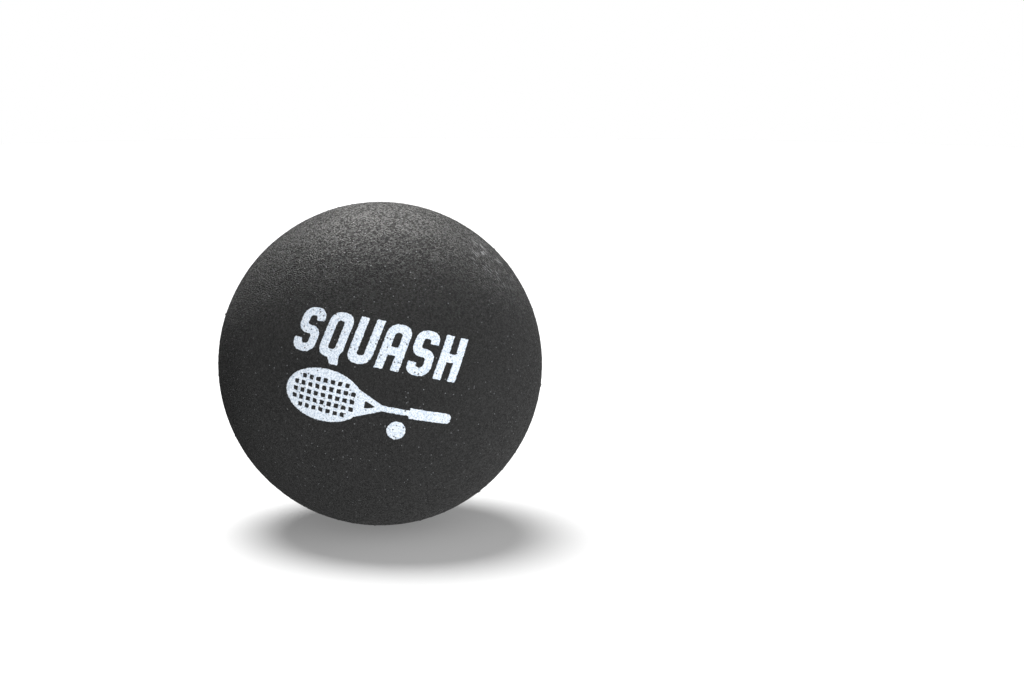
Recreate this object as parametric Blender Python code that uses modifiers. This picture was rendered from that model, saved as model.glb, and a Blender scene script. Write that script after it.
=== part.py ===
"""A squash ball: two moulded rubber half shells cemented rim to rim, a printed mark and a speed dot.

Units are metres, +Z is up and the origin is the ball's centre, so the ball stands on z = -BALL_RADIUS.
Both half shells are turned about Y. The marked one is the -Y half, the dotted one is the +Y half, and the
seam between them lies in the XZ plane. The dot sits diametrically opposite the middle of the mark.
"""

import math

import bmesh
import bpy
from mathutils import Matrix, Vector
from mathutils.geometry import delaunay_2d_cdt

MM = 0.001

# The rules of squash set the ball's diameter and mass. The wall follows from them.
BALL_RADIUS = 20.0 * MM
BALL_MASS = 0.024
RUBBER_DENSITY = 1200.0
CAVITY_RADIUS = (BALL_RADIUS**3 - 0.75 * BALL_MASS / (math.pi * RUBBER_DENSITY)) ** (1 / 3)

# The cement line is thinner than the usual gap between parts, so its gaps are smaller too.
BOND_THICKNESS = 0.2 * MM
BOND_GAP = 0.05 * MM
BOND_INSET = 0.05 * MM
RIM_CHAMFER = 0.4 * MM
BEAD_RADIUS = 0.35 * MM
BEAD_INSET = 0.05 * MM
BEAD_STEPS = 8
RIM_HEIGHT = BOND_THICKNESS / 2 + BOND_GAP

# How finely the turned shapes are divided.
TURN_STEPS = 64
OUTER_STEPS = 16
CAVITY_STEPS = 10

# A print is a film of ink. Its gap clears the flat facets of the round surface under it, and its cells are
# small enough that its own facets clear it too.
INK_THICKNESS = 0.05 * MM
INK_GAP = 0.03 * MM
INK_CELL = 1.2 * MM
INK_RADIUS = BALL_RADIUS + INK_GAP
SHARP_ANGLE = math.radians(40)

# Points of a flat shape nearer than this are one point. Its triangulation keeps what its edges enclose.
SAME_POINT = 0.001 * MM
ENCLOSED_TRIANGLES = 1

# The mark sits a little above the middle of the -Y side and is turned clockwise for a viewer there.
MARK_RISE = math.radians(5)
MARK_ROLL = math.radians(12)

# The mark's word, in the mark's own plane: u to the right and v up from its middle. Its capitals are drawn
# with one stroke width and leaned over.
WORD = "SQUASH"
WORD_WIDTH = 20.6 * MM
WORD_BASE = 1.4 * MM
WORD_LEAN = 0.16
LETTER_HEIGHT = 5.6 * MM
LETTER_GAP = 0.6 * MM
LETTER_WIDTH = (WORD_WIDTH - LETTER_GAP * (len(WORD) - 1)) / len(WORD)
STROKE = 1.02 * MM
BAR_MIDDLE = LETTER_HEIGHT / 2
OUTER_ROUND = 1.2 * MM
INNER_ROUND = 0.35 * MM
HOOK = 0.55 * MM
TAIL = 0.75 * MM
CORNER_STEPS = 4

# The racket figure under the word: a strung oval head, a throat, a shaft and a grip, along u.
HEAD_MIDDLE = Vector((-5.4, -3.2)) * MM
HEAD_LENGTH = 9.8 * MM
HEAD_WIDTH = 6.4 * MM
HEAD_RIM = 0.42 * MM
HEAD_STEPS = 16
HEAD_END = math.radians(148)
STRING_PITCH = 0.9 * MM
STRING_HOLE = 0.54 * MM
SHAFT_START = 2.3 * MM
SHAFT_WIDTH = 0.7 * MM
GRIP_START = 5.6 * MM
GRIP_END = 10.9 * MM
GRIP_WIDTH = 1.3 * MM
GRIP_ROUNDING = 0.35 * MM
THROAT_HOLE_LENGTH = 1.35 * MM
THROAT_HOLE_WIDTH = 1.0 * MM
THROAT_BRIDGE = 0.2 * MM

# The ball figure beside the racket, and the speed dot on the other side.
SMALL_BALL_RADIUS = 1.15 * MM
SMALL_BALL_MIDDLE = Vector((4.0, -5.6)) * MM
DOT_RADIUS = 1.5 * MM
DISC_STEPS = 28

BLACK_RUBBER = ((0.028, 0.028, 0.027), 0.8)
CURED_CEMENT = ((0.016, 0.016, 0.016), 0.6)
WHITE_INK = ((0.72, 0.77, 0.84), 0.5)
BLUE_INK = ((0.077, 0.279, 0.56), 0.5)


def clear_scene():
    for obj in list(bpy.data.objects):
        bpy.data.objects.remove(obj)


def add_object(name, mesh, finish):
    """Puts a mesh in the ball's collection as a named object with a material of its own."""
    colour, roughness = finish
    material = bpy.data.materials.new(name)
    material.use_nodes = True
    shader = material.node_tree.nodes["Principled BSDF"]
    shader.inputs["Base Color"].default_value = (*colour, 1)
    shader.inputs["Roughness"].default_value = roughness
    shader.inputs["Metallic"].default_value = 0
    mesh.materials.append(material)
    obj = bpy.data.objects.new(name, mesh)
    ball.objects.link(obj)
    return obj


def arc(middle, radius, first, last, steps):
    """Points (x, z) on a circle, from one angle to another, both measured from +X towards +Z."""
    angles = [first + (last - first) * i / steps for i in range(steps + 1)]
    return [(middle + radius * math.cos(a), radius * math.sin(a)) for a in angles]


# Half shells and cement


def half_shell_profile():
    """From the outer pole down the outside, across the rim, and up the cavity wall to the inner pole."""
    rim_edge = math.asin(RIM_HEIGHT / BALL_RADIUS)
    cavity_edge = math.asin((RIM_HEIGHT + RIM_CHAMFER) / CAVITY_RADIUS)
    outside = arc(0, BALL_RADIUS, math.pi / 2, rim_edge, OUTER_STEPS)
    chamfer = [(CAVITY_RADIUS + RIM_CHAMFER, RIM_HEIGHT)]
    cavity = arc(0, CAVITY_RADIUS, cavity_edge, math.pi / 2, CAVITY_STEPS)
    return outside + chamfer + cavity


def bond_profile():
    """The thin cement film between the rims, ending inside in a round bead of squeezed-out cement."""
    outer = BALL_RADIUS - BOND_INSET
    neck = math.asin(BOND_THICKNESS / 2 / BEAD_RADIUS)
    bead = arc(CAVITY_RADIUS - BEAD_INSET, BEAD_RADIUS, -neck, neck - 2 * math.pi, BEAD_STEPS)
    return [(outer, BOND_THICKNESS / 2), (outer, -BOND_THICKNESS / 2)] + bead


def turned(name, profile, closed, quarter_turns, finish):
    """A profile turned about Z, then swung about X so that its axis lies along Y."""
    mesh = bpy.data.meshes.new(name)
    edges = [(i, i + 1) for i in range(len(profile) - 1)]
    if closed:
        edges.append((len(profile) - 1, 0))
    mesh.from_pydata([(x, 0, z) for x, z in profile], edges, [])
    obj = add_object(name, mesh, finish)
    obj.rotation_euler.x = quarter_turns * math.pi / 2
    screw = obj.modifiers.new("turn", "SCREW")
    screw.steps = TURN_STEPS
    screw.render_steps = TURN_STEPS
    screw.use_merge_vertices = True
    screw.merge_threshold = 0.01 * MM
    screw.use_smooth_shade = True


# Printed ink


def cut_into_cells(flat):
    """Cuts a flat shape along a grid of lines, so that it can bend round the ball."""
    reach = max(max(abs(v.co.x), abs(v.co.y)) for v in flat.verts)
    lines = int(reach / INK_CELL) + 1
    for normal in (Vector((1, 0, 0)), Vector((0, 1, 0))):
        for i in range(-lines, lines + 1):
            whole = flat.verts[:] + flat.edges[:] + flat.faces[:]
            bmesh.ops.bisect_plane(flat, geom=whole, plane_co=normal * i * INK_CELL, plane_no=normal)
    bmesh.ops.remove_doubles(flat, verts=flat.verts, dist=SAME_POINT)


def on_ball(point):
    """A flat point carried onto the ball, at its own distance and direction from the film's middle."""
    distance = math.hypot(point.x, point.y)
    if distance == 0:
        return Vector((0, 0, INK_RADIUS))
    angle = distance / INK_RADIUS
    spread = INK_RADIUS * math.sin(angle) / distance
    return Vector((point.x * spread, point.y * spread, INK_RADIUS * math.cos(angle)))


def thicken(sheet):
    """Turns a sheet on the ball into a closed film, with the sheet as its inner face."""
    inner_faces = sheet.faces[:]
    walls = [edge.link_loops[0] for edge in sheet.edges if edge.is_boundary]
    outer = {vert: sheet.verts.new(vert.co * (1 + INK_THICKNESS / INK_RADIUS)) for vert in sheet.verts[:]}
    for face in inner_faces:
        sheet.faces.new([outer[vert] for vert in face.verts])
    for loop in walls:
        here, there = loop.vert, loop.link_loop_next.vert
        sheet.faces.new((here, there, outer[there], outer[here]))
    bmesh.ops.reverse_faces(sheet, faces=inner_faces)


def print_film(name, flat, place, finish):
    """Bends a flat shape round the ball, and gives it the ink's thickness outwards."""
    cut_into_cells(flat)
    for vert in flat.verts:
        vert.co = place @ on_ball(vert.co)
    thicken(flat)
    mesh = bpy.data.meshes.new(name)
    flat.to_mesh(mesh)
    flat.free()
    mesh.shade_smooth()
    mesh.set_sharp_from_angle(angle=SHARP_ANGLE)
    add_object(name, mesh, finish)


def filled(loops):
    """The flat shape between an outer loop and the holes in it, which are convex."""
    points = [Vector(point) for loop in loops for point in loop]
    owners = [number for number, loop in enumerate(loops) for _ in loop]
    edges = []
    for loop in loops:
        first = len(edges)
        edges += [(first + i, first + (i + 1) % len(loop)) for i in range(len(loop))]
    places, _, triangles, sources, *_ = delaunay_2d_cdt(points, edges, [], ENCLOSED_TRIANGLES, SAME_POINT)
    flat = bmesh.new()
    verts = [flat.verts.new((*place, 0)) for place in places]
    for triangle in triangles:
        around = {owners[sources[i][0]] for i in triangle}
        if 0 in around or len(around) > 1:
            flat.faces.new([verts[i] for i in triangle])
    return flat


def disc(radius, middle):
    flat = bmesh.new()
    shift = Matrix.Translation((middle.x, middle.y, 0))
    bmesh.ops.create_circle(flat, cap_ends=True, radius=radius, segments=DISC_STEPS, matrix=shift)
    return flat


def rounded(*corners):
    """A closed loop through (u, v, radius) corners, with an arc wherever the radius isn't 0."""
    loop = []
    for i, (u, v, radius) in enumerate(corners):
        corner = Vector((u, v))
        if radius == 0:
            loop.append(corner)
            continue
        back = (Vector(corners[i - 1][:2]) - corner).normalized()
        ahead = (Vector(corners[(i + 1) % len(corners)][:2]) - corner).normalized()
        half = back.angle(ahead) / 2
        middle = corner + (back + ahead).normalized() * radius / math.sin(half)
        first = (corner + back * radius / math.tan(half) - middle).normalized()
        last = (corner + ahead * radius / math.tan(half) - middle).normalized()
        turns = [step / CORNER_STEPS for step in range(CORNER_STEPS + 1)]
        loop += [middle + radius * first.slerp(last, turn) for turn in turns]
    return loop


def letter_loops(character):
    """One capital's outline and its holes, with its lower left corner at (0, 0)."""
    right, top = LETTER_WIDTH, LETTER_HEIGHT
    inner_right, inner_top = right - STROKE, top - STROKE
    bar_low, bar_high = BAR_MIDDLE - STROKE / 2, BAR_MIDDLE + STROKE / 2
    wide, tight = OUTER_ROUND, INNER_ROUND
    if character == "S":
        return [rounded(
            (right, top, wide), (0, top, wide), (0, bar_low, wide), (inner_right, bar_low, tight),
            (inner_right, STROKE, tight), (STROKE, STROKE, tight), (STROKE, STROKE + HOOK, 0),
            (0, STROKE + HOOK, 0), (0, 0, wide), (right, 0, wide), (right, bar_high, wide),
            (STROKE, bar_high, tight), (STROKE, inner_top, tight), (inner_right, inner_top, tight),
            (inner_right, inner_top - HOOK, 0), (right, inner_top - HOOK, 0),
        )]
    if character == "Q":
        ring = rounded(
            (0, top, wide), (0, 0, wide), (inner_right - STROKE / 2, 0, 0), (inner_right, -TAIL, 0),
            (right, -TAIL, 0), (right - STROKE / 4, STROKE / 3, 0), (right, STROKE, 0), (right, top, wide),
        )
        hole = rounded(
            (STROKE, STROKE, tight), (inner_right, STROKE, tight),
            (inner_right, inner_top, tight), (STROKE, inner_top, tight),
        )
        return [ring, hole]
    if character == "U":
        return [rounded(
            (0, top, 0), (0, 0, wide), (right, 0, wide), (right, top, 0), (inner_right, top, 0),
            (inner_right, STROKE, tight), (STROKE, STROKE, tight), (STROKE, top, 0),
        )]
    if character == "A":
        arch = bar_low - STROKE / 2
        legs = rounded(
            (0, 0, 0), (STROKE, 0, 0), (STROKE, arch, 0), (inner_right, arch, 0),
            (inner_right, 0, 0), (right, 0, 0), (right, top, wide), (0, top, wide),
        )
        hole = rounded(
            (STROKE, BAR_MIDDLE, 0), (inner_right, BAR_MIDDLE, 0),
            (inner_right, inner_top, tight), (STROKE, inner_top, tight),
        )
        return [legs, hole]
    return [rounded(
        (0, 0, 0), (STROKE, 0, 0), (STROKE, bar_low, 0), (inner_right, bar_low, 0), (inner_right, 0, 0),
        (right, 0, 0), (right, top, 0), (inner_right, top, 0), (inner_right, bar_high, 0),
        (STROKE, bar_high, 0), (STROKE, top, 0), (0, top, 0),
    )]


def add_word(place):
    """The word's letters, side by side with equal gaps."""
    for number, character in enumerate(WORD):
        left = number * (LETTER_WIDTH + LETTER_GAP) - WORD_WIDTH / 2
        loops = [
            [(left + u + WORD_LEAN * (v - LETTER_HEIGHT / 2), WORD_BASE + v) for u, v in loop]
            for loop in letter_loops(character)
        ]
        print_film(f"mark_letter_{number + 1}", filled(loops), place, WHITE_INK)


def racket_outline():
    """The racket's edge in its head's own frame: round the head from its tip, along the handle, and back."""
    turns = [HEAD_END * i / HEAD_STEPS for i in range(HEAD_STEPS + 1)]
    head = [(-HEAD_LENGTH / 2 * math.cos(t), HEAD_WIDTH / 2 * math.sin(t)) for t in turns]
    shaft_end = HEAD_LENGTH / 2 + SHAFT_START
    grip = HEAD_LENGTH / 2 + GRIP_START
    butt = HEAD_LENGTH / 2 + GRIP_END
    handle = [
        (shaft_end, SHAFT_WIDTH / 2),
        (grip, SHAFT_WIDTH / 2),
        (grip, GRIP_WIDTH / 2),
        (butt - GRIP_ROUNDING, GRIP_WIDTH / 2),
        (butt, GRIP_WIDTH / 2 - GRIP_ROUNDING),
    ]
    upper = head + handle
    lower = [(u, -v) for u, v in reversed(upper[1:])]
    return upper + lower


def string_holes():
    """Square holes between the strings, wherever a whole one fits inside the head's rim."""
    half = STRING_HOLE / 2
    columns = int(HEAD_LENGTH / STRING_PITCH)
    rows = int(HEAD_WIDTH / STRING_PITCH)
    holes = []
    for column in range(-columns, columns + 1):
        for row in range(-rows, rows + 1):
            u = column * STRING_PITCH
            v = row * STRING_PITCH
            along = (abs(u) + half) / (HEAD_LENGTH / 2 - HEAD_RIM)
            across = (abs(v) + half) / (HEAD_WIDTH / 2 - HEAD_RIM)
            if along**2 + across**2 < 1:
                left, right, low, high = u - half, u + half, v - half, v + half
                holes.append([(left, low), (right, low), (right, high), (left, high)])
    return holes


def throat_hole():
    start = HEAD_LENGTH / 2 + THROAT_BRIDGE
    half = THROAT_HOLE_WIDTH / 2
    return [(start, -half), (start + THROAT_HOLE_LENGTH, 0), (start, half)]


def add_racket(place):
    loops = [
        [(HEAD_MIDDLE.x + u, HEAD_MIDDLE.y + v) for u, v in loop]
        for loop in [racket_outline(), *string_holes(), throat_hole()]
    ]
    print_film("mark_racket", filled(loops), place, WHITE_INK)


clear_scene()
ball = bpy.data.collections.new("squash_ball")
bpy.context.scene.collection.children.link(ball)

turned("marked_half_shell", half_shell_profile(), False, 1, BLACK_RUBBER)
turned("dotted_half_shell", half_shell_profile(), False, -1, BLACK_RUBBER)
turned("seam_bond", bond_profile(), True, 1, CURED_CEMENT)

mark_place = Matrix.Rotation(math.pi / 2 - MARK_RISE, 3, "X") @ Matrix.Rotation(-MARK_ROLL, 3, "Z")
add_word(mark_place)
add_racket(mark_place)
print_film("mark_ball", disc(SMALL_BALL_RADIUS, SMALL_BALL_MIDDLE), mark_place, WHITE_INK)

dot_place = Matrix.Rotation(-math.pi / 2 - MARK_RISE, 3, "X")
print_film("speed_dot", disc(DOT_RADIUS, Vector((0, 0))), dot_place, BLUE_INK)
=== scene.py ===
import math

import bmesh
import bpy
import numpy as np
from mathutils import Euler, Matrix, Vector, noise


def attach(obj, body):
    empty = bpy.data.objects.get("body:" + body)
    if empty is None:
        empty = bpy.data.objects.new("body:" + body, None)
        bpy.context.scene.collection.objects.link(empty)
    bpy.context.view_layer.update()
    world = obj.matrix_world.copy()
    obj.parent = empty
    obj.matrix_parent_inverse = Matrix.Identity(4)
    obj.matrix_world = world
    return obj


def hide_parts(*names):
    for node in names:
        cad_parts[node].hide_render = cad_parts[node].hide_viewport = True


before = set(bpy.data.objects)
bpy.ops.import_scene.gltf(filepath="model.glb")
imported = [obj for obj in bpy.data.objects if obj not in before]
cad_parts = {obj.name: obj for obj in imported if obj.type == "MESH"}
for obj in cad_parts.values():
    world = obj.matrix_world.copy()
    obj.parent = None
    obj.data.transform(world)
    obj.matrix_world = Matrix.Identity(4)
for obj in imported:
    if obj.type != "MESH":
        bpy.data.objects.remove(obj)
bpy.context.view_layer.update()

# The ball's looks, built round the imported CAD. Metres, +Z up, the ball's centre at the origin.

MM = 0.001


def radius_of(node, place):
    """A CAD node's own distance from the ball's centre: its nearest or its farthest point."""
    return place(vert.co.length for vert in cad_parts[node].data.vertices)


BALL_RADIUS = radius_of("marked_half_shell", max)
CAVITY_RADIUS = radius_of("marked_half_shell", min)
FLOOR_HEIGHT = -BALL_RADIUS - 0.01 * MM
FLOOR_RADIUS = 500 * MM
FLOOR_SIDES = 96

# Half shells: fine enough for the moulded grain to be real geometry.
OUTER_SUBDIVISIONS = 8
CAVITY_SUBDIVISIONS = 5
SEAM_HALF_WIDTH = 0.09 * MM
WELD = 0.002 * MM

# Moulded grain: each layer's size and its height, in millimetres.
WAVES = (5.0, 0.015)
PEBBLE = (0.9, 0.006)
FINE = (0.36, 0.033)

# Nibs stand in a share of the cells, each by its cell's own draw. Spacing is in millimetres.
NIB_SPACING = 0.9
NIB_RADIUS = 0.22
NIB_SHARE_WITHOUT = 0.25
NIB_HEIGHT = 0.26
NIB_DRAW = 7.3

# The cement line and its bead inside.
BOND_STEPS = 600
BOND_DEPTH = 0.012 * MM
BOND_FIT = 0.96
BEAD_RADIUS = 0.35 * MM
BEAD_OVERLAP = 0.05 * MM
BEAD_STEPS = 8

# Ink films follow the grain. Their edges thin out, and wander a little as a pad print's do.
INK_STEP = 0.1 * MM
INK_THICKNESS = 0.03 * MM
INK_LIFT = 0.012 * MM
INK_FEATHER = 0.15 * MM
INK_WANDER = 0.07 * MM
INK_WANDER_SIZE = 0.25 * MM
INK_WELD = 0.0001 * MM
INK_MARGIN = 3
LETTERS = 6
GRID_SHIFT = 0.1
LEAST_CROSSING = 0.01

# One rubbed patch, high on the marked side's right: its middle and the run of its marks, in millimetres.
SCUFF_PLACE = Vector((13.85, -4.9, 13.6))
SCUFF_RUN = Vector((0.71, -0.09, -0.7))
SCUFF_SIZES = (1.3, 0.17, 0.17)
SCUFF_RADIUS = 5.5

# Light colours, beside plain white.
WARM = (1, 0.985, 0.955)
COOL = (0.94, 0.97, 1)

# The room is brightest toward one side, and black beyond a share of the way to the other.
ROOM_BRIGHT_SIDE = Vector((0.6, -0.72, -0.3))
ROOM_DARK_FROM = -0.7
ROOM_LEVEL = 1.3

# The camera stands where the photographer did: up, back and a little to the ball's right.
CAMERA_LENS = 95.0
SENSOR_WIDTH = 36.0
CAMERA_DISTANCE = 335.15 * MM
CAMERA_RISE = math.radians(10.2)
CAMERA_SIDE = math.radians(2.8)
CAMERA_PITCH = math.radians(9.735)
CAMERA_TURN = math.radians(2.829)


# Moulded surface


def grain(direction):
    """How far the rubber stands above the true ball in one direction: slow waves, fine grain and a few nibs."""
    point = direction * (BALL_RADIUS / MM)
    waves, pebble, fine = (noise.noise(point / size) * height for size, height in (WAVES, PEBBLE, FINE))
    distances, places = noise.voronoi(point / NIB_SPACING)
    draw = noise.cell(places[0] * NIB_DRAW)
    nib = max(0.0, 1.0 - distances[0] / NIB_RADIUS) * max(0.0, draw - NIB_SHARE_WITHOUT) * NIB_HEIGHT
    return (waves + pebble + fine + nib) * MM


def surface(direction):
    """The point of the rubber's surface in one direction."""
    return direction * (BALL_RADIUS + grain(direction))


def add_piece(name, mesh, material, slot, *nodes):
    mesh.materials.clear()
    mesh.materials.append(material)
    mesh.shade_smooth()
    piece = bpy.data.objects.new(name, mesh)
    bpy.context.scene.collection.objects.link(piece)
    ball.objects.link(piece)
    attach(piece, "root")
    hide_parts(*nodes)
    return piece


def cut_sphere(radius, subdivisions, height, side):
    """The part of a fine ball beyond a plane across Y, as a bmesh, with its open edges."""
    shell = bmesh.new()
    bmesh.ops.create_icosphere(shell, subdivisions=subdivisions, radius=radius)
    whole = shell.verts[:] + shell.edges[:] + shell.faces[:]
    plane = Vector((0, side * height, 0))
    bmesh.ops.bisect_plane(
        shell, geom=whole, dist=WELD, plane_co=plane, plane_no=Vector((0, -side, 0)), clear_outer=True
    )
    return shell


def half_shell(name, side, material):
    """One moulded half: its grained outside, its flat rim and its smooth cavity wall."""
    shell = cut_sphere(BALL_RADIUS, OUTER_SUBDIVISIONS, SEAM_HALF_WIDTH, side)
    for vert in shell.verts:
        vert.co = surface(vert.co.normalized())
    cavity = cut_sphere(CAVITY_RADIUS, CAVITY_SUBDIVISIONS, SEAM_HALF_WIDTH, side)
    bmesh.ops.reverse_faces(cavity, faces=cavity.faces)
    inner = bpy.data.meshes.new(name)
    cavity.to_mesh(inner)
    cavity.free()
    shell.from_mesh(inner)
    rim = [edge for edge in shell.edges if edge.is_boundary]
    bmesh.ops.triangle_fill(shell, edges=rim, use_beauty=False, normal=Vector((0, -side, 0)))
    bmesh.ops.recalc_face_normals(shell, faces=shell.faces)
    mesh = bpy.data.meshes.new(name)
    shell.to_mesh(mesh)
    shell.free()
    add_piece(name.replace("half_shell", "rubber_half"), mesh, material, "black_rubber", name)


def seam_ring(material):
    """The cement between the rims: flush outside, where buffing left it, and a round bead inside."""
    half = SEAM_HALF_WIDTH * BOND_FIT
    middle = CAVITY_RADIUS - BEAD_OVERLAP
    neck = math.asin(half / BEAD_RADIUS)
    angles = [neck + (2 * math.pi - 2 * neck) * i / BEAD_STEPS for i in range(BEAD_STEPS + 1)]
    bead = [(middle + BEAD_RADIUS * math.cos(a), BEAD_RADIUS * math.sin(a)) for a in angles]
    ring = bmesh.new()
    rows = []
    for step in range(BOND_STEPS):
        turn = 2 * math.pi * step / BOND_STEPS
        across = Vector((math.cos(turn), 0, math.sin(turn)))
        row = [ring.verts.new(across * r + Vector((0, y, 0))) for r, y in bead]
        for y in (-half, 0.0, half):
            out = surface((across + Vector((0, y / BALL_RADIUS, 0))).normalized())
            row.append(ring.verts.new(out * (1 - BOND_DEPTH / BALL_RADIUS)))
        rows.append(row)
    for here, there in zip(rows, rows[1:] + rows[:1]):
        for i in range(len(here)):
            j = (i + 1) % len(here)
            ring.faces.new((here[i], here[j], there[j], there[i]))
    bmesh.ops.recalc_face_normals(ring, faces=ring.faces)
    mesh = bpy.data.meshes.new("seam_cement_ring")
    ring.to_mesh(mesh)
    ring.free()
    add_piece("seam_cement_ring", mesh, material, "seam_cement", "seam_bond")


# Printed ink


def print_axes(node):
    """The middle direction of a printed film, and two directions across it."""
    middle = sum((vert.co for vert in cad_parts[node].data.vertices), Vector()).normalized()
    right = middle.cross(Vector((0, 0, -1))).normalized()
    return right, middle.cross(right), middle


def print_edges(node, axes):
    """The outer edges of a CAD film, laid flat: an array of segments, each two (u, v) points."""
    film = bmesh.new()
    film.from_mesh(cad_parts[node].data)
    bmesh.ops.remove_doubles(film, verts=film.verts, dist=INK_WELD)
    middle = (radius_of(node, min) + radius_of(node, max)) / 2
    tops = {face for face in film.faces if all(vert.co.length > middle for vert in face.verts)}
    segments = []
    for edge in film.edges:
        if sum(face in tops for face in edge.link_faces) == 1:
            segments.append([flattened(vert.co, axes) for vert in edge.verts])
    film.free()
    return np.array(segments)


def flattened(point, axes):
    right, up, middle = axes
    across = Vector((point.dot(right), point.dot(up)))
    angle = math.atan2(across.length, point.dot(middle))
    return tuple(across.normalized() * angle * BALL_RADIUS)


def direction_at(u, v, axes):
    right, up, middle = axes
    distance = math.hypot(u, v)
    if distance == 0:
        return middle.copy()
    angle = distance / BALL_RADIUS
    return (right * u + up * v) * (math.sin(angle) / distance) + middle * math.cos(angle)


def inside_distance(grid_u, grid_v, segments):
    """How deep each grid point lies inside the outline. It is negative outside."""
    nearest = np.full(grid_u.shape, np.inf)
    inside = np.zeros(grid_u.shape, bool)
    for (u0, v0), (u1, v1) in segments:
        du, dv = u1 - u0, v1 - v0
        along = ((grid_u - u0) * du + (grid_v - v0) * dv) / (du * du + dv * dv)
        along = np.clip(along, 0, 1)
        gap = np.hypot(grid_u - u0 - along * du, grid_v - v0 - along * dv)
        nearest = np.minimum(nearest, gap)
        if v0 != v1:
            crosses = (v0 > grid_v) != (v1 > grid_v)
            inside ^= crosses & (grid_u < u0 + (grid_v - v0) * du / dv)
    return np.where(inside, nearest, -nearest)


def ink_film(name, node, material, slot):
    """A thin film with the CAD print's outline, on a fine grid cut along that outline."""
    axes = print_axes(node)
    segments = print_edges(node, axes)
    low = np.floor(segments.min(axis=(0, 1)) / INK_STEP).astype(int) - INK_MARGIN
    high = np.ceil(segments.max(axis=(0, 1)) / INK_STEP).astype(int) + INK_MARGIN
    # The shift keeps grid points off the outline's own straight edges.
    us = (np.arange(low[0], high[0] + 1) + GRID_SHIFT) * INK_STEP
    vs = (np.arange(low[1], high[1] + 1) + GRID_SHIFT) * INK_STEP
    grid_u, grid_v = np.meshgrid(us, vs, indexing="ij")
    depth = inside_distance(grid_u, grid_v, segments)
    for i, j in np.argwhere(abs(depth) < 2 * INK_STEP):
        place = direction_at(us[i], vs[j], axes) * (BALL_RADIUS / INK_WANDER_SIZE)
        depth[i, j] += INK_WANDER * noise.noise(place)
    points, faces = contour_cells(depth, us, vs)
    film = bmesh.new()
    tops = []
    bottoms = []
    for u, v, deep in points:
        direction = direction_at(u, v, axes)
        base = surface(direction)
        rise = INK_LIFT + INK_THICKNESS * math.sin(min(1.0, deep / INK_FEATHER) * math.pi / 2)
        tops.append(film.verts.new(base + direction * rise))
        bottoms.append(film.verts.new(base - direction * INK_LIFT))
    for face in faces:
        film.faces.new([tops[i] for i in face])
    for edge in [edge for edge in film.edges if edge.is_boundary]:
        start, end = (tops.index(vert) for vert in edge.verts)
        film.faces.new((tops[end], tops[start], bottoms[start], bottoms[end]))
    for face in faces:
        film.faces.new([bottoms[i] for i in reversed(face)])
    bmesh.ops.recalc_face_normals(film, faces=film.faces)
    mesh = bpy.data.meshes.new(name)
    film.to_mesh(mesh)
    film.free()
    add_piece(name, mesh, material, slot, node)


def contour_cells(depth, us, vs):
    """Cuts the grid's cells along depth = 0. Gives (u, v, depth) points and faces over the inside."""
    points = []
    numbers = {}
    faces = []

    def corner(i, j):
        if (i, j) not in numbers:
            numbers[i, j] = len(points)
            points.append((us[i], vs[j], depth[i, j]))
        return numbers[i, j]

    def crossing(a, b):
        key = (min(a, b), max(a, b))
        if key not in numbers:
            # A crossing keeps off the grid's own points, so that no face is a sliver.
            share = depth[key[0]] / (depth[key[0]] - depth[key[1]])
            share = float(np.clip(share, LEAST_CROSSING, 1 - LEAST_CROSSING))
            (i, j), (k, m) = key
            numbers[key] = len(points)
            points.append((us[i] + (us[k] - us[i]) * share, vs[j] + (vs[m] - vs[j]) * share, 0.0))
        return numbers[key]

    for i in range(len(us) - 1):
        for j in range(len(vs) - 1):
            cell = [(i, j), (i + 1, j), (i + 1, j + 1), (i, j + 1)]
            if not any(depth[c] > 0 for c in cell):
                continue
            face = []
            for a, b in zip(cell, cell[1:] + cell[:1]):
                if depth[a] > 0:
                    face.append(corner(*a))
                if (depth[a] > 0) != (depth[b] > 0):
                    face.append(crossing(a, b))
            faces.append(face)
    return points, faces


# Materials

RUBBER_DARK = (0.0132, 0.0132, 0.013)
RUBBER_LIGHT = (0.0168, 0.0167, 0.0164)
RUBBER_SAND = (0.027, 0.027, 0.0266)
RUBBER_SPECK = (0.22, 0.226, 0.235)
RUBBER_RUBBED = (0.3, 0.303, 0.308)
CEMENT_DARK = (0.015, 0.015, 0.015)
CEMENT_LIGHT = (0.021, 0.021, 0.0205)
WHITE_THIN = (0.45, 0.53, 0.63)
WHITE_THICK = (0.77, 0.82, 0.88)
BLUE_THIN = (0.07, 0.26, 0.53)
BLUE_THICK = (0.085, 0.3, 0.6)
PINHOLE = (0.05, 0.052, 0.055)
PAPER_DARK = (0.45, 0.45, 0.45)
PAPER_LIGHT = (0.46, 0.46, 0.46)
WHITE = (1.0, 1.0, 1.0)


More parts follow.
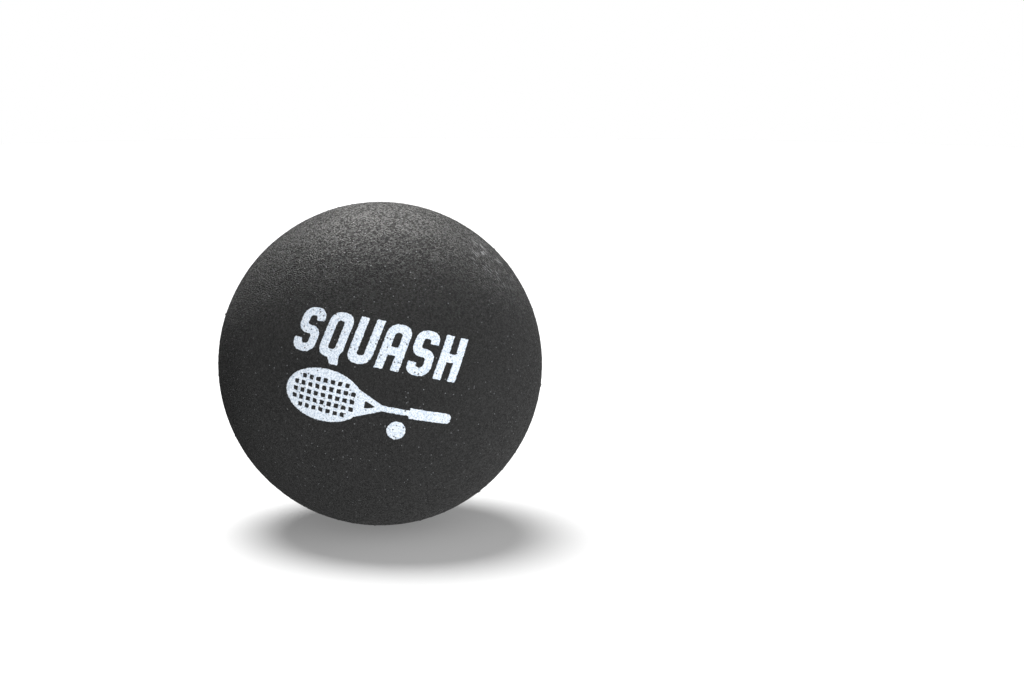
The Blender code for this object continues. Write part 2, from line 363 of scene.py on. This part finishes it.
class Nodes:
    """A material's node tree, with short ways to add and join nodes. Its vector is in millimetres."""

    def __init__(self, name):
        self.material = bpy.data.materials.new(name)
        self.material.use_nodes = True
        self.tree = self.material.node_tree
        self.shader = self.tree.nodes["Principled BSDF"]
        coordinates = self.tree.nodes.new("ShaderNodeTexCoord")
        scale = self.tree.nodes.new("ShaderNodeVectorMath")
        scale.operation = "SCALE"
        scale.inputs["Scale"].default_value = 1 / MM
        self.tree.links.new(coordinates.outputs["Object"], scale.inputs[0])
        self.place = scale.outputs[0]

    def set(self, **values):
        for name, value in values.items():
            socket = self.shader.inputs[name.replace("_", " ")]
            socket.default_value = (*value, 1) if isinstance(value, tuple) else value

    def join(self, output, name):
        self.tree.links.new(output, self.shader.inputs[name])

    def noise(self, size, detail=2.0):
        """Noise from 0 to 1 with features of that many millimetres."""
        node = self.tree.nodes.new("ShaderNodeTexNoise")
        node.inputs["Scale"].default_value = 1 / size
        node.inputs["Detail"].default_value = detail
        self.tree.links.new(self.place, node.inputs["Vector"])
        return node.outputs["Fac"]

    def spots(self, size):
        """Points scattered about that many millimetres apart: the distance in units of it, and the colour."""
        node = self.tree.nodes.new("ShaderNodeTexVoronoi")
        node.inputs["Scale"].default_value = 1 / size
        self.tree.links.new(self.place, node.inputs["Vector"])
        return node.outputs["Distance"], node.outputs["Color"]

    def streaks(self, place, run, sizes):
        """Noise from 0 to 1 in long thin grains, laid on the ball at a place and along a run."""
        out = place.normalized()
        along = (run - out * run.dot(out)).normalized()
        turn = Matrix((along, out.cross(along), out)).transposed()
        mapping = self.tree.nodes.new("ShaderNodeMapping")
        mapping.vector_type = "TEXTURE"
        mapping.inputs["Location"].default_value = place
        mapping.inputs["Rotation"].default_value = turn.to_euler()
        mapping.inputs["Scale"].default_value = sizes
        self.tree.links.new(self.place, mapping.inputs["Vector"])
        node = self.tree.nodes.new("ShaderNodeTexNoise")
        node.inputs["Scale"].default_value = 1.0
        node.inputs["Detail"].default_value = 0.0
        node.inputs["Distortion"].default_value = 0.4
        self.tree.links.new(mapping.outputs[0], node.inputs["Vector"])
        return node.outputs["Fac"]

    def distance(self, place):
        """How many millimetres each point lies from a place."""
        node = self.tree.nodes.new("ShaderNodeVectorMath")
        node.operation = "DISTANCE"
        self.tree.links.new(self.place, node.inputs[0])
        node.inputs[1].default_value = place
        return node.outputs["Value"]

    def ramp(self, value, low, high, first=0.0, last=1.0):
        """Value carried from low..high to first..last, and held there outside."""
        node = self.tree.nodes.new("ShaderNodeMapRange")
        node.interpolation_type = "SMOOTHSTEP"
        self.tree.links.new(value, node.inputs["Value"])
        for name, number in (("From Min", low), ("From Max", high), ("To Min", first), ("To Max", last)):
            node.inputs[name].default_value = number
        return node.outputs["Result"]

    def math(self, operation, first, second):
        node = self.tree.nodes.new("ShaderNodeMath")
        node.operation = operation
        for socket, value in zip(node.inputs, (first, second)):
            if isinstance(value, float):
                socket.default_value = value
            else:
                self.tree.links.new(value, socket)
        return node.outputs[0]

    def mix(self, share, first, second):
        """A colour between two colours, each a tuple or an output."""
        node = self.tree.nodes.new("ShaderNodeMix")
        node.data_type = "RGBA"
        self.tree.links.new(share, node.inputs["Factor"])
        for socket, value in ((node.inputs[6], first), (node.inputs[7], second)):
            if isinstance(value, tuple):
                socket.default_value = (*value, 1)
            else:
                self.tree.links.new(value, socket)
        return node.outputs[2]

    def bump(self, height, depth):
        """Bends the shader's normal by a height, where 1 stands for that many millimetres."""
        node = self.tree.nodes.new("ShaderNodeBump")
        node.inputs["Distance"].default_value = depth * MM
        self.tree.links.new(height, node.inputs["Height"])
        self.join(node.outputs["Normal"], "Normal")


def rubber_look():
    """Matt charcoal rubber: sandy moulded grain, faint mottling, a dusting of pale specks, one rubbed patch."""
    look = Nodes("charcoal_rubber")
    cloudy = look.noise(6.0, detail=3.0)
    sandy = look.spots(0.15)[1]
    base = look.mix(look.ramp(cloudy, 0.3, 0.7), RUBBER_DARK, RUBBER_LIGHT)
    base = look.mix(look.ramp(sandy, 0.5, 0.85), base, RUBBER_SAND)
    distance, colour = look.spots(0.5)
    chosen = look.ramp(colour, 0.59, 0.71)
    speck = look.math("MULTIPLY", look.ramp(distance, 0.09, 0.18, 1.0, 0.0), chosen)
    base = look.mix(speck, base, RUBBER_SPECK)
    marks = look.ramp(look.streaks(SCUFF_PLACE, SCUFF_RUN, SCUFF_SIZES), 0.64, 0.68)
    patch = look.ramp(look.distance(SCUFF_PLACE), SCUFF_RADIUS * 0.4, SCUFF_RADIUS, 1.0, 0.0)
    patch = look.math("MULTIPLY", patch, look.ramp(look.noise(2.2), 0.43, 0.53))
    base = look.mix(look.math("MULTIPLY", marks, patch), base, RUBBER_RUBBED)
    look.join(base, "Base Color")
    look.join(look.ramp(look.spots(0.19)[1], 0.25, 0.75, 0.32, 0.84), "Roughness")
    look.set(Specular_IOR_Level=0.33)
    grains = look.math("MULTIPLY", look.spots(0.17)[0], -0.25)
    height = look.math("ADD", grains, look.math("MULTIPLY", look.noise(0.12, detail=1.0), 0.8))
    look.bump(height, 0.37)
    return look.material


def cement_look():
    """Cured rubber cement, buffed flush: the same black, a little smoother."""
    look = Nodes("buffed_cement")
    base = look.mix(look.ramp(look.noise(0.6), 0.3, 0.7), CEMENT_DARK, CEMENT_LIGHT)
    look.join(base, "Base Color")
    look.join(look.ramp(look.noise(0.3), 0.3, 0.7, 0.55, 0.7), "Roughness")
    look.set(Specular_IOR_Level=0.4)
    look.bump(look.noise(0.2), 0.06)
    return look.material


def ink_look(name, thin, thick, pinholes):
    """Pad-printed ink on grained rubber: uneven cover, with the rubber showing through as pinholes."""
    look = Nodes(name)
    cover = look.mix(look.ramp(look.noise(0.17, detail=3.0), 0.35, 0.6), thin, thick)
    if pinholes:
        distance, colour = look.spots(0.36)
        worn = look.ramp(look.noise(1.7), 0.42, 0.56)
        chosen = look.math("MULTIPLY", look.ramp(colour, 0.45, 0.55), worn)
        hole = look.math("MULTIPLY", look.ramp(distance, 0.16, 0.36, 1.0, 0.0), chosen)
        cover = look.mix(hole, cover, PINHOLE)
    look.join(cover, "Base Color")
    look.join(look.ramp(look.noise(0.4), 0.3, 0.7, 0.5, 0.7), "Roughness")
    look.set(Specular_IOR_Level=0.35)
    look.bump(look.noise(0.2), 0.035)
    return look.material


def floor_look():
    """White paper that glows a little, which keeps the ball's shadow even."""
    look = Nodes("white_paper")
    look.join(look.mix(look.noise(30.0), PAPER_DARK, PAPER_LIGHT), "Base Color")
    look.set(Roughness=0.9, Specular_IOR_Level=0.0)
    look.set(Emission_Color=WHITE, Emission_Strength=0.2)
    return look.material


# Stage, light and camera


def add_stage():
    """The floor, which glossy rays don't see."""
    mesh = bpy.data.meshes.new("floor")
    plane = bmesh.new()
    bmesh.ops.create_circle(plane, cap_ends=True, radius=FLOOR_RADIUS, segments=FLOOR_SIDES)
    plane.to_mesh(mesh)
    plane.free()
    mesh.materials.append(floor_look())
    floor = bpy.data.objects.new("floor", mesh)
    floor.location.z = FLOOR_HEIGHT
    floor.visible_glossy = False
    bpy.context.scene.collection.objects.link(floor)
    stage.objects.link(floor)


def add_sun(name, strength, width, elevation, azimuth, receivers, colour=WHITE):
    """A broad soft light on the ball or on the stage. Azimuth 0 degrees is the -Y side, and 90 the +X side."""
    data = bpy.data.lights.new(name, "SUN")
    data.energy = strength
    data.color = colour
    data.angle = math.radians(width)
    light = bpy.data.objects.new(name, data)
    e, a = math.radians(elevation), math.radians(azimuth)
    toward = Vector((math.sin(a) * math.cos(e), -math.cos(a) * math.cos(e), math.sin(e)))
    light.rotation_euler = toward.to_track_quat("Z", "Y").to_euler()
    light.light_linking.receiver_collection = receivers
    bpy.context.scene.collection.objects.link(light)


def add_world():
    """An even white room, which lights the ball more from its right and is plain white behind it."""
    world = bpy.data.worlds.new("studio")
    bpy.context.scene.world = world
    world.use_nodes = True
    tree = world.node_tree
    tree.nodes.clear()
    coordinates = tree.nodes.new("ShaderNodeTexCoord")
    side = tree.nodes.new("ShaderNodeVectorMath")
    side.operation = "DOT_PRODUCT"
    side.inputs[1].default_value = ROOM_BRIGHT_SIDE.normalized()
    tree.links.new(coordinates.outputs["Generated"], side.inputs[0])
    level = tree.nodes.new("ShaderNodeMapRange")
    level.inputs["From Min"].default_value = ROOM_DARK_FROM
    level.inputs["From Max"].default_value = 1.0
    level.inputs["To Min"].default_value = 0.0
    level.inputs["To Max"].default_value = ROOM_LEVEL
    tree.links.new(side.outputs["Value"], level.inputs["Value"])
    room = tree.nodes.new("ShaderNodeBackground")
    room.inputs["Color"].default_value = (1, 1, 1, 1)
    tree.links.new(level.outputs["Result"], room.inputs["Strength"])
    behind = tree.nodes.new("ShaderNodeBackground")
    behind.inputs["Color"].default_value = (1, 1, 1, 1)
    path = tree.nodes.new("ShaderNodeLightPath")
    mix = tree.nodes.new("ShaderNodeMixShader")
    tree.links.new(path.outputs["Is Camera Ray"], mix.inputs[0])
    tree.links.new(room.outputs[0], mix.inputs[1])
    tree.links.new(behind.outputs[0], mix.inputs[2])
    output = tree.nodes.new("ShaderNodeOutputWorld")
    tree.links.new(mix.outputs[0], output.inputs["Surface"])


def add_camera():
    data = bpy.data.cameras.new("camera")
    data.lens = CAMERA_LENS
    data.sensor_width = SENSOR_WIDTH
    data.clip_start = 1 * MM
    data.clip_end = 100.0
    camera = bpy.data.objects.new("camera", data)
    flat = CAMERA_DISTANCE * math.cos(CAMERA_RISE)
    height = CAMERA_DISTANCE * math.sin(CAMERA_RISE)
    camera.location = (flat * math.sin(CAMERA_SIDE), -flat * math.cos(CAMERA_SIDE), height)
    camera.rotation_euler = Euler((math.pi / 2 - CAMERA_PITCH, 0, CAMERA_SIDE - CAMERA_TURN))
    bpy.context.scene.collection.objects.link(camera)
    bpy.context.scene.camera = camera


ball = bpy.data.collections.new("ball")
stage = bpy.data.collections.new("stage")
add_camera()
add_stage()
add_world()
add_sun("key", strength=7.2, width=40, elevation=65.5, azimuth=205, receivers=stage)
add_sun("top", strength=2.3, width=43, elevation=62, azimuth=196, receivers=ball)
add_sun("back", strength=2.7, width=32, elevation=38.5, azimuth=184, receivers=ball, colour=WARM)
add_sun("fill", strength=1.5, width=90, elevation=12, azimuth=35, receivers=ball, colour=COOL)
add_sun("rim", strength=0.4, width=50, elevation=-30, azimuth=250, receivers=ball)
bpy.context.scene.view_settings.view_transform = "Standard"

rubber = rubber_look()
half_shell("marked_half_shell", -1, rubber)
half_shell("dotted_half_shell", 1, rubber)
seam_ring(cement_look())

white_ink = ink_look("white_ink", thin=WHITE_THIN, thick=WHITE_THICK, pinholes=True)
for number in range(1, LETTERS + 1):
    ink_film(f"ink_letter_{number}", f"mark_letter_{number}", white_ink, "white_ink")
ink_film("ink_racket", "mark_racket", white_ink, "white_ink")
ink_film("ink_ball", "mark_ball", white_ink, "white_ink")
blue_ink = ink_look("blue_ink", thin=BLUE_THIN, thick=BLUE_THICK, pinholes=False)
ink_film("ink_speed_dot", "speed_dot", blue_ink, "blue_ink")
